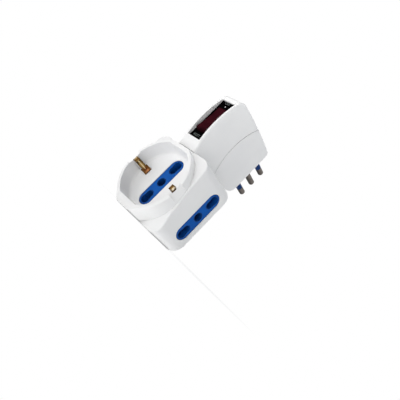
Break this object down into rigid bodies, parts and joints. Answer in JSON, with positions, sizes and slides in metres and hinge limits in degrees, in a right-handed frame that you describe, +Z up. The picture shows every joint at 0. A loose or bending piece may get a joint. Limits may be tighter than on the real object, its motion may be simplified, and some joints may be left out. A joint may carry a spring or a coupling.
{
  "type": "multi socket adapter",
  "caption": "Plug-in mains adapter: a narrow plug body with a rocker switch above a block with a round earthed socket in front and slot sockets on its sides.",
  "frame": {"origin": "on the earth pin's axis, where the pin leaves the plug's back face (the wall plane)", "axes": "+Y into the wall along the pins, +Z up on the wall from the socket block to the plug body, the front faces -Y"},
  "size_m": [0.048, 0.071, 0.0905],
  "materials": {
    "white_plastic": "satin moulding",
    "blue_plastic": "satin moulding",
    "black_plastic": "fine grain",
    "red_plastic": "smoked red, translucent",
    "nickel_pins": "nickel plated",
    "brass": "rolled strip",
    "steel": "zinc plated",
    "lamp_glass": "clear",
    "resistor_body": "lacquered",
    "brown_lead": "extruded sheath",
    "blue_lead": "extruded sheath",
    "earth_lead_skin": "extruded sheath"
  },
  "bodies": {
    "adapter_body": {"socket_housing": "white_plastic", "back_cover": "white_plastic", "plug_front_shell": "white_plastic", "plug_rear_shell": "white_plastic", "front_socket_insert": "blue_plastic", "right_socket_insert": "blue_plastic", "left_socket_insert": "blue_plastic", "upper_pin_sleeve": "blue_plastic", "lower_pin_sleeve": "blue_plastic", "switch_frame": "black_plastic", "switch_case": "black_plastic", "pin_carrier": "black_plastic", "earth_pin": "nickel_pins", "upper_pin": "nickel_pins", "lower_pin": "nickel_pins", "upper_contact_strip": "brass", "earth_contact_strip": "brass", "lower_contact_strip": "brass", "earth_bracket": "brass", "upper_terminal": "brass", "lower_terminal": "brass", "bimetal_strip": "brass", "cover_screws": "steel", "neck_screws": "steel", "rocker_pivot": "steel", "neon_lamp": "lamp_glass", "lamp_resistor": "resistor_body", "pin_lead": "brown_lead", "switch_lead": "brown_lead", "lower_lead": "blue_lead", "earth_lead": "earth_lead_skin"},
    "rocker": {"switch_rocker": "red_plastic"}
  },
  "joints": [
    {"name": "rocker_hinge", "type": "hinge", "parent": "adapter_body", "child": "rocker", "pos_m": [0, -0.045, -0.0014], "axis": [1, 0, 0], "range_deg": [0, 12]}
  ]
}
